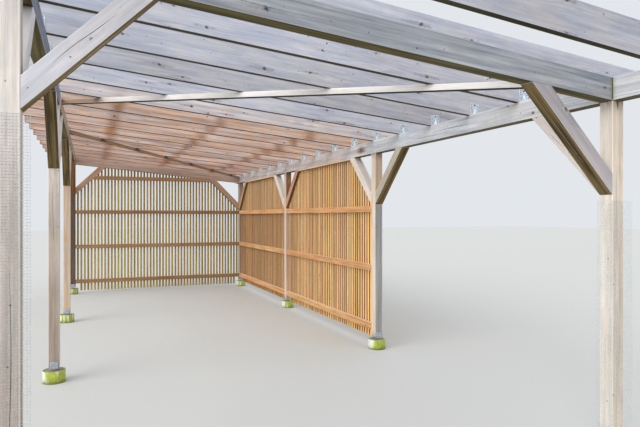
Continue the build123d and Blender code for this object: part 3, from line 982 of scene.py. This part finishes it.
# %% Helpers for the walls
def board(bm, low, high):
    """Adds a plain board between two corners."""
    verts = bmesh.ops.create_cube(bm, size=1.0)["verts"]
    size = Vector(high) - Vector(low)
    bmesh.ops.scale(bm, verts=verts, vec=size)
    bmesh.ops.translate(bm, verts=verts, vec=(Vector(high) + Vector(low)) / 2)
    return verts


def saw(bm, verts, point, normal):
    """Saws what is beyond a plane off one board, and closes the cut."""
    if max(normal.dot(v.co - point) for v in verts) <= 1e-6:
        return verts
    edges = list({e for v in verts for e in v.link_edges})
    faces = list({f for v in verts for f in v.link_faces})
    if min(normal.dot(v.co - point) for v in verts) >= -1e-6:
        bmesh.ops.delete(bm, geom=verts, context="VERTS")
        return []
    cut = bmesh.ops.bisect_plane(
        bm, geom=verts + edges + faces, plane_co=point, plane_no=normal, clear_outer=True,
    )
    new = [g for g in cut["geom_cut"] if isinstance(g, bmesh.types.BMEdge)]
    bmesh.ops.edgenet_fill(bm, edges=new)
    return [v for v in verts_among(cut["geom"]) if v.is_valid]


def slat_places(low, high):
    """Middles of the slats between two posts, centred as in the CAD source."""
    count = int((high - low - slat_width + 1e-6) // slat_pitch) + 1
    return [(low + high) / 2 + (n - (count - 1) / 2) * slat_pitch for n in range(count)]


def rod(bm, place, turn, depth, radius, tip=None, segments=6):
    """Adds a closed rod, narrower at its tip if one is given, and returns its vertices."""
    made = bmesh.ops.create_cone(
        bm, cap_ends=True, segments=segments, radius1=radius, radius2=radius if tip is None else tip,
        depth=depth, matrix=Matrix.Translation(place) @ turn,
    )
    return made["verts"]


def wall(
    name, node, along, inner, out, span, rails, foot, top, cuts, batten,
    rail_finish, slat_finish, seed,
):
    """One slatted wall. along and out are directions, inner is the rails' inner plane."""
    dice = random.Random(seed)
    low, high = span
    outer = rail_thickness + slat_thickness

    def corner(s, depth, z):
        """A point by its place along the wall, out from its inner plane and up."""
        return along * s + out * (inner + depth) + Vector((0, 0, z))

    def sawn_board(bm, start, end):
        """Adds a board between two opposite corners and saws it along the braces and beam."""
        verts = board(bm, [min(p) for p in zip(start, end)], [max(p) for p in zip(start, end)])
        for point, normal in cuts:
            verts = saw(bm, verts, point, normal)
        return verts

    rail_mesh = bmesh.new()
    for z in rails:
        sawn_board(rail_mesh, corner(low, 0, z), corner(high, rail_thickness, z + rail_height))
    ease_arrises(rail_mesh, 0.002)
    write_grain(rail_mesh, seed + 1)
    add_piece(f"{name}_rails", rail_mesh, [rail_finish], [node])
    if batten:
        strip = bmesh.new()
        sawn_board(strip, corner(low, 0, batten), corner(high, rail_thickness, batten + top_batten))
        ease_arrises(strip, 0.0015)
        write_grain(strip, seed + 3)
        add_piece(f"{name}_top_batten", strip, [top_batten_pine])

    slat_mesh = bmesh.new()
    heads = []
    for middle in slat_places(low, high):
        at_post = abs(middle - (low + high) / 2) + slat_width / 2 > (high - low) / 2 - corner_width
        slat_foot = (corner_slat_foot if at_post else foot) + dice.uniform(0, 0.004)
        middle += 0 if at_post else dice.uniform(-0.0015, 0.0015)
        start = corner(middle - slat_width / 2, rail_thickness, slat_foot)
        verts = sawn_board(slat_mesh, start, corner(middle + slat_width / 2, outer, top))
        reach = max(v.co.z for v in verts)
        for height in [z + h for z in rails for h in (0.022, rail_height - 0.022)]:
            if height < reach - 0.03:
                heads.append(corner(middle + dice.uniform(-0.004, 0.004), outer + 0.0003, height))
    ease_arrises(slat_mesh, 0.0015, 1)
    count = write_grain(slat_mesh, seed + 2)
    slats_piece = add_piece(f"{name}_slats", slat_mesh, [slat_finish])

    nails = bmesh.new()
    turn = Vector((0, 0, 1)).rotation_difference(out).to_matrix().to_4x4()
    for place in heads:
        rod(nails, place, turn, 0.0016, 0.0036, 0.0030)
    add_piece(f"{name}_nails", nails, [nail_steel])
    print(f"{name}: {count} slats, {len(heads)} nails, {len(slats_piece.data.polygons)} slat faces")


# %% [markdown]
# ## Galvanised steel
#
# Hot-dip galvanising leaves zinc crystals, called spangle, about 10 mm across,
# each with its own tone. The joist brackets still shine, and the nails have
# gone dull. Zinc is a metal, so its colour is in the reflection.

# %% Steel finishes
def galvanised(name, bright, dull, rough, crystal_mm):
    """Hot-dip galvanised steel with spangle of a given size in millimetres."""
    material, t = new_material(name)
    spot = add(t, "TexCoord").outputs["Object"]
    crystals = add(t, "TexVoronoi", {"distance": "MANHATTAN"}, {"Vector": spot, "Scale": 1000 / crystal_mm})
    tone = add(t, "SeparateXYZ", None, {0: crystals.outputs["Color"]}).outputs["X"]
    bloom = add(t, "TexNoise", None, {"Vector": spot, "Scale": 60.0, "Detail": 3.0})
    face = add(t, "Mix", COLOUR, {0: tone, 6: bright, 7: dull})
    pale = add(t, "MapRange", None, {0: bloom, 1: 0.5, 2: 0.75, 4: 0.5})
    face = add(t, "Mix", COLOUR, {0: pale, 6: face, 7: "#B9BFC4"})
    matt = add(t, "MapRange", None, {0: tone, 3: rough, 4: rough + 0.18})
    bump = add(t, "Bump", None, {"Height": bloom, "Strength": 0.25, "Distance": 0.0005})
    surface = add(
        t, "BsdfPrincipled", None,
        {"Base Color": face, "Metallic": 0.9, "Roughness": matt, "Normal": bump},
    )
    add(t, "OutputMaterial", None, {"Surface": surface})
    return material


bracket_steel = galvanised("hot-dip galvanised steel", "#F6FBFF", "#CBD8E2", 0.3, 14)
anchor_steel = galvanised("weathered galvanised steel", "#D8DEE6", "#AAB3BE", 0.42, 12)
nail_steel = galvanised("dull galvanised nail steel", "#8E8C86", "#6E6C68", 0.55, 4)
wire_steel = galvanised("galvanised mesh wire", "#EAEDEE", "#C2C8CB", 0.55, 6)
print("steel finishes: 4")

# %% The three walls
right_top_of_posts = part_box("post_right_2")[1].z
for n, place in ((1, "middle"), (2, "rear")):
    low, high = post_rows[n] + post_size / 2, post_rows[n + 1] - post_size / 2
    sawn = [
        (Vector((0, low, brace_foot)), Vector((0, -1, 1)).normalized()),
        (Vector((0, high, brace_foot)), Vector((0, 1, 1)).normalized()),
    ]
    wall(
        f"side_wall_{place}", f"right_wall_{place}", Vector((0, 1, 0)), half_clear, Vector((1, 0, 0)),
        (low, high), [rail_foot + rail_step * k for k in range(3)], side_slat_foot, right_top_of_posts,
        sawn, right_top_of_posts - top_batten, side_rail_pine, side_slat_pine, 400 + 10 * n,
    )


def cross_under(x):
    """Height of the rear cross beam's underside at x."""
    return right_top + roof_slope * (half_clear - x) - beam_depth


# This seed was searched for too, for the tones of the four rails; it makes the top rail lighter than the
# others, which is painted light, as that rail stands above the shade
rear_wall_seed = 71776
end_feet = {side: cross_under(side * half_clear) - brace_drop for side in (-1, 1)}
sawn = [
    (Vector((-half_clear, 0, end_feet[-1])), Vector((-1, 0, 1)).normalized()),
    (Vector((half_clear, 0, end_feet[1])), Vector((1, 0, 1)).normalized()),
    (Vector((0, 0, cross_under(0))), Vector((roof_slope, 0, 1)).normalized()),
]
wall(
    "rear_wall_boards", "rear_wall", Vector((-1, 0, 0)), post_rows[3] - post_size / 2, Vector((0, 1, 0)),
    (-half_clear, half_clear), [rail_foot + rail_step * k for k in range(4)], rear_slat_foot,
    cross_under(-half_clear), sawn, None, rear_rail_pine, rear_slat_pine, rear_wall_seed,
)

# %% [markdown]
# ## Wind panes
#
# Clear acrylic sheets stand in the rails, against the slats, and keep the
# wind out. They show only where they catch the sky, and less here than real
# acrylic would, because a pale studio is much brighter than a garden. Each
# sheet is its CAD solid's box, a little thinner, so that its face doesn't lie
# in the slats'.

# %% Acrylic sheets
acrylic, t = new_material("clear acrylic sheet")
surface = add(
    t, "BsdfPrincipled", None,
    {"Base Color": "#EEF4F2", "Roughness": 0.05, "Alpha": 0.02, "Specular IOR Level": 0.1},
)
add(t, "OutputMaterial", None, {"Surface": surface})
for node in ("right_panes_middle", "right_panes_rear", "rear_panes"):
    out = Vector((0, 1, 0)) if node == "rear_panes" else Vector((1, 0, 0))
    bm = clean_copy(node)
    outer = max(out.dot(v.co) for v in bm.verts)
    for vert in bm.verts:
        if out.dot(vert.co) > outer - 0.001:
            vert.co -= out * 0.001
    piece = add_piece(f"{node}_sheets", bm, [acrylic], [node])
    print(f"{piece.name}: {len(piece.data.polygons)} faces")

# %% [markdown]
# ## Joist brackets
#
# Each joist is held by a pressed angle bracket: one leg nailed to the joist,
# one to the beam, with nail holes, a bolt hole and a rib pressed into the
# corner so that it can't fold. Six nails and one bolt hold each leg. One
# bracket is modelled with care, at the origin, and then copied to all
# thirty-six places.

# %% One joist bracket, drilled
bracket_width, bracket_leg, bracket_foot, plate = 0.090, 0.105, 0.095, 0.003
upright, level = Matrix.Rotation(math.pi / 2, 4, "X"), Matrix.Identity(4)
nail_spots = [(x, reach, 0.006) for reach in (0.052, 0.070, 0.088) for x in (-0.032, 0.032)]
bolt_spot = (0, 0.080, 0.008)


def on_both_legs(bm, spot, out, depth, radius, tip=None, segments=6):
    """Adds a rod to each leg. A spot is across, away from the corner, and more on the upright leg."""
    x, reach, more = spot
    first = rod(bm, (x, -out, reach + more), upright, depth, radius, tip, segments)
    return first + rod(bm, (x, -reach, out), level, depth, radius, tip, segments)


angle = bmesh.new()
corners = [
    (0, 0), (-bracket_foot, 0), (-bracket_foot, plate), (-plate - 0.003, plate),
    (-plate, plate + 0.003), (-plate, bracket_leg), (0, bracket_leg),
]
profile = angle.faces.new([angle.verts.new((-bracket_width / 2, y, z)) for y, z in corners])
swept = bmesh.ops.extrude_face_region(angle, geom=[profile])["geom"]
bmesh.ops.translate(angle, verts=verts_among(swept), vec=(bracket_width, 0, 0))
bmesh.ops.recalc_face_normals(angle, faces=angle.faces)
tips = [e for e in angle.edges if abs(e.calc_length() - plate) < 1e-6]
tips = [e for e in tips if abs(e.verts[0].co.x - e.verts[1].co.x) < 1e-6]
round_edges(angle, tips, 0.008, 4)
rims = [e for e in angle.edges if e.calc_face_angle(0) > 1.2]
round_edges(angle, rims, 0.0005, 1)
drills = bmesh.new()
holes = [(bolt_spot, 0.005)] + [(spot, 0.0025) for spot in nail_spots]
holes += [((x, 0.028, 0), 0.0055) for x in (-0.026, 0.026)]
for spot, radius in holes:
    on_both_legs(drills, spot, 0, 0.02, radius, segments=14)
bracket = cut_away(angle, drills)
print("bracket:", len(bracket.faces), "faces,", len(holes) * 2, "holes")

# %% Add its pressed rib, nails and bolts
rib_reach, rib_rise = 0.040, 0.060
foot_line = [(-0.010, -plate), (0.010, -plate), (0.004, -rib_reach), (-0.004, -rib_reach)]
rib = bracket.faces.new([bracket.verts.new((x, y, plate - 0.0005)) for x, y in foot_line])
lifted = bmesh.ops.extrude_face_region(bracket, geom=[rib])["geom"]
for vert in verts_among(lifted):
    vert.co.z += rib_rise if vert.co.y > -0.01 else 0.0015
    vert.co.x *= 0.55
rib_faces = list({f for v in verts_among(lifted) + list(rib.verts) for f in v.link_faces})
bmesh.ops.recalc_face_normals(bracket, faces=rib_faces)
rib_edges = [e for e in {e for f in rib_faces for e in f.edges} if e.calc_face_angle(0) > 0.4]
rib_edges = [e for e in rib_edges if max(v.co.z for v in e.verts) > plate + 0.0008]
round_edges(bracket, rib_edges, 0.0016, 2)
heads = []
for spot in nail_spots:
    heads += on_both_legs(bracket, spot, plate + 0.0004, 0.0018, 0.0042, 0.0034, 8)
heads += on_both_legs(bracket, bolt_spot, plate + 0.002, 0.005, 0.0075, 0.0072)
for face in {f for v in heads for f in v.link_faces}:
    face.material_index = 1
template = bpy.data.meshes.new("bracket_template")
bracket.to_mesh(template)
bracket.free()
print("finished bracket:", len(template.polygons), "faces")

# %% Copy it to every joist
for side, x, top in (("left", -post_x, left_top), ("right", post_x, right_top)):
    row = bmesh.new()
    for n, y in enumerate(joist_rows):
        first = len(row.verts)
        row.from_mesh(template)
        row.verts.ensure_lookup_table()
        way = 1 if n == 0 else -1
        turn = Matrix.Rotation(math.pi, 4, "Z") if n == 0 else Matrix.Identity(4)
        place = Matrix.Translation((x, y + way * joist_thickness / 2, top)) @ turn
        bmesh.ops.transform(row, matrix=place, verts=row.verts[first:])
    materials, node = [bracket_steel, nail_steel], f"joist_brackets_{side}"
    piece = add_piece(f"{side}_joist_brackets", row, materials, [node])
    print(f"{piece.name}: {len(piece.data.polygons)} faces")
bpy.data.meshes.remove(template)

# %% [markdown]
# ## Post anchors
#
# A steel saddle on a short stem keeps each post clear of the wet footing. It
# is the CAD solid with its edges dulled, plus a hexagon bolt and washer in
# each leg.

# %% Anchors and their bolts
bolt_height = 0.172
# Radius, distance from the plate, depth and sides of the washer, then of the bolt's head
bolt_parts = ((0.012, 0.0, 0.002, 20), (0.0095, 0.002, 0.0065, 6))
bm = clean_copy("post_anchors")
ease_arrises(bm, 0.0012)
for x, y, way in [(x, y, way) for x in (-post_x, post_x) for y in post_rows for way in (-1, 1)]:
    face = y + way * (post_size / 2 + anchor_plate)
    turn = Matrix.Rotation(-way * math.pi / 2, 4, "X")
    for radius, start, depth, segments in bolt_parts:
        middle = face + way * (start + depth / 2 - 0.0002)
        rod(bm, (x, middle, bolt_height), turn, depth, radius, radius * 0.97, segments)
piece = add_piece("anchors_and_bolts", bm, [anchor_steel], ["post_anchors"])
print(f"{piece.name}: {len(piece.data.polygons)} faces")

# %% [markdown]
# ## Footings
#
# Each footing was cast in a short length of plastic pipe, left in place. The
# pipe is a profile with a rounded rim, spun round its axis. The concrete core
# is a disc of rings whose top is trowelled, so it is nearly flat with a few
# millimetres of unevenness.

# %% Pipe and concrete finishes
pipe_plastic, t = new_material("weathered green pipe plastic")
spot = add(t, "TexCoord").outputs["Object"]
height = add(t, "SeparateXYZ", None, {0: spot}).outputs["Z"]
blotch = add(t, "TexNoise", None, {"Vector": spot, "Scale": 16.0, "Detail": 5.0, "Roughness": 0.6})
run_place = add(t, "Mapping", None, {"Vector": spot, "Scale": (22, 22, 4)})
runs = add(t, "TexNoise", None, {"Vector": run_place, "Scale": 1.0, "Detail": 3.0})
weather_side = add(t, "SeparateXYZ", None, {0: add(t, "NewGeometry").outputs["Normal"]}).outputs["X"]
chalk = add(t, "Math", TIMES_PLUS, {0: blotch, 1: -0.5, 2: weather_side})
face = "#B9C44A"
for amount, colour in (
    (add(t, "MapRange", None, {0: blotch, 1: 0.35, 2: 0.7}), "#909F2E"),
    (add(t, "MapRange", None, {0: runs, 1: 0.56, 2: 0.68, 4: 0.8}), "#F4F3E6"),
    (add(t, "MapRange", SMOOTH, {0: chalk, 1: -0.85, 2: -1.1, 4: 0.9}), "#EBEEDC"),
    (add(t, "MapRange", None, {0: height, 1: 0.03, 2: 0.0, 4: 0.6}), "#6F6A4C"),
):
    face = add(t, "Mix", COLOUR, {0: amount, 6: face, 7: colour})
bump = add(t, "Bump", None, {"Height": blotch, "Strength": 0.3, "Distance": 0.001})
surface = add(t, "BsdfPrincipled", None, {"Base Color": face, "Roughness": 0.5, "Normal": bump})
add(t, "OutputMaterial", None, {"Surface": surface})

concrete, t = new_material("trowelled concrete")
spot = add(t, "TexCoord").outputs["Object"]
sand = add(t, "TexNoise", None, {"Vector": spot, "Scale": 420.0, "Detail": 3.0})
stain = add(t, "TexNoise", None, {"Vector": spot, "Scale": 18.0, "Detail": 5.0})
stones = add(t, "TexVoronoi", None, {"Vector": spot, "Scale": 90.0})
face = add(t, "Mix", COLOUR, {0: stain, 6: "#B9B6AC", 7: "#86847B"})
sand_shade = add(t, "MapRange", None, {0: sand, 1: 0.3, 2: 0.7, 3: 0.85, 4: 1.1})
face = add(t, "Mix", SHADE, {0: 1.0, 6: face, 7: sand_shade})
stone = add(t, "MapRange", None, {0: stones.outputs["Distance"], 1: 0.14, 2: 0.1, 4: 0.5})
face = add(t, "Mix", COLOUR, {0: stone, 6: face, 7: "#6B6A66"})
bump = add(t, "Bump", None, {"Height": sand, "Strength": 0.6, "Distance": 0.0015})
surface = add(t, "BsdfPrincipled", None, {"Base Color": face, "Roughness": 0.92, "Normal": bump})
add(t, "OutputMaterial", None, {"Surface": surface})
print("footing finishes: 2")

# %% Spin the pipes and cast the cores
pipe_outer, pipe_wall, pipe_height, core_height = 0.100, 0.008, 0.115, 0.110
pipes, cores = bmesh.new(), bmesh.new()
wall_line = [
    (pipe_outer, 0.0), (pipe_outer, 0.055), (pipe_outer, pipe_height - 0.003),
    (pipe_outer - 0.0015, pipe_height - 0.0006), (pipe_outer - 0.004, pipe_height),
    (pipe_outer - 0.0065, pipe_height - 0.0006), (pipe_outer - pipe_wall, pipe_height - 0.003),
    (pipe_outer - pipe_wall, 0.0),
]
core_line = [
    (0.0, core_height), (0.018, core_height), (0.045, core_height), (0.072, core_height - 0.0005),
    (0.0895, core_height - 0.001), (0.0918, core_height - 0.003), (0.0918, 0.0),
]


def spun(bm, line, closed):
    """Spins a profile round the vertical axis. An open one is closed by a flat foot."""
    verts = [bm.verts.new((r, 0, z)) for r, z in line]
    edges = [bm.edges.new(pair) for pair in zip(verts, verts[1:])]
    if closed:
        edges.append(bm.edges.new((verts[-1], verts[0])))
    else:
        foot = bm.verts.new((0, 0, line[-1][1]))
        edges.append(bm.edges.new((verts[-1], foot)))
        verts.append(foot)
    bmesh.ops.spin(
        bm, geom=verts + edges, cent=(0, 0, 0), axis=(0, 0, 1), angle=2 * math.pi, steps=40, use_merge=True,
    )


for line, closed, target in ((wall_line, True, pipes), (core_line, False, cores)):
    for x, y in [(x, y) for x in (-post_x, post_x) for y in post_rows]:
        one = bmesh.new()
        spun(one, line, closed)
        bmesh.ops.remove_doubles(one, verts=one.verts, dist=1e-6)
        bmesh.ops.recalc_face_normals(one, faces=one.faces)
        bmesh.ops.translate(one, verts=one.verts, vec=(x, y, 0))
        for vert in [] if closed else one.verts:
            away = math.hypot(vert.co.x - x, vert.co.y - y)
            if vert.co.z > 0.1 and 0.03 < away < 0.09:
                vert.co.z -= 0.0015 * (1 + noise(vert.co * 30))
        mesh = bpy.data.meshes.new("one")
        one.to_mesh(mesh)
        one.free()
        target.from_mesh(mesh)
        bpy.data.meshes.remove(mesh)
for bm in (pipes, cores):
    for face in bm.faces:
        face.smooth = abs(face.normal.z) < 0.95
pipe_piece = add_piece("footing_pipes", pipes, [pipe_plastic], ["footing_collars"])
core_piece = add_piece("footing_concrete", cores, [concrete], ["footing_cores"])
print("footings:", len(pipe_piece.data.polygons), "and", len(core_piece.data.polygons), "faces")

# %% [markdown]
# ## Climbing mesh
#
# A strip of welded wire mesh is stapled to the front of each front post for
# plants to climb. The CAD grid is coarse, because fine wire would be
# thousands of solids. The real mesh has a 13 mm grid of 1 mm wire, drawn here
# 1.3 mm thick so that it still shows at the photograph's size. Uprights are in
# front, cross wires are welded behind, and the loose edges bow a little.

# %% Wire mesh and staples
wire, grid_step, edge_gap, staples = 0.0013, 0.013, 0.0015, 9


def strand(bm, place, turn, length, sides, cuts):
    """Adds one wire, divided along its length so that it can bow."""
    verts = rod(bm, place, turn, length, wire / 2, segments=sides)
    edges = [e for e in {e for v in verts for e in v.link_edges} if e.calc_length() > length / 2]
    edges.sort(key=lambda e: [round(c, 5) for c in (e.verts[0].co + e.verts[1].co)])
    bmesh.ops.subdivide_edges(bm, edges=edges, cuts=cuts)


for side in ("left", "right"):
    low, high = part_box(f"climber_mesh_{side}")
    width, height = high.x - low.x - 2 * edge_gap, high.z - low.z - 2 * edge_gap
    columns, rows = round(width / grid_step), round(height / grid_step)
    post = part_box(f"post_{side}_1")
    front = post[0].y - wire * 0.75
    mesh = bmesh.new()
    for n in range(columns + 1):
        place = (low.x + edge_gap + n * width / columns, front - wire, (low.z + high.z) / 2)
        strand(mesh, place, Matrix.Identity(4), height, 5, 24)
    for n in range(rows + 1):
        place = ((low.x + high.x) / 2, front, low.z + edge_gap + n * height / rows)
        strand(mesh, place, Matrix.Rotation(math.pi / 2, 4, "Y"), width, 4, 3)

    # The strip bows forwards where it hangs free of the post
    for vert in mesh.verts:
        free = max(post[0].x - vert.co.x, vert.co.x - post[1].x, 0)
        wave = 0.6 + 0.4 * math.sin(vert.co.z * 5.1 + vert.co.x * 9) + 0.25 * math.sin(vert.co.z * 13)
        vert.co.y -= min(free * 0.075, 0.008) * wave

    dice = random.Random(len(side))
    near, far = front - wire * 1.9, front - wire * 0.9
    for n in range(staples):
        for x in (post[0].x + 0.012, post[1].x - 0.012):
            z = low.z + 0.06 + n * (height - 0.12) / (staples - 1) + dice.uniform(-0.02, 0.02)
            board(mesh, (x - 0.0055, near, z - 0.0008), (x + 0.0055, far, z + 0.0008))
    node = f"climber_mesh_{side}"
    piece = add_piece(f"{side}_climbing_mesh", mesh, [wire_steel], [node])
    print(f"{piece.name}: {columns} x {rows} cells, {len(piece.data.polygons)} faces")
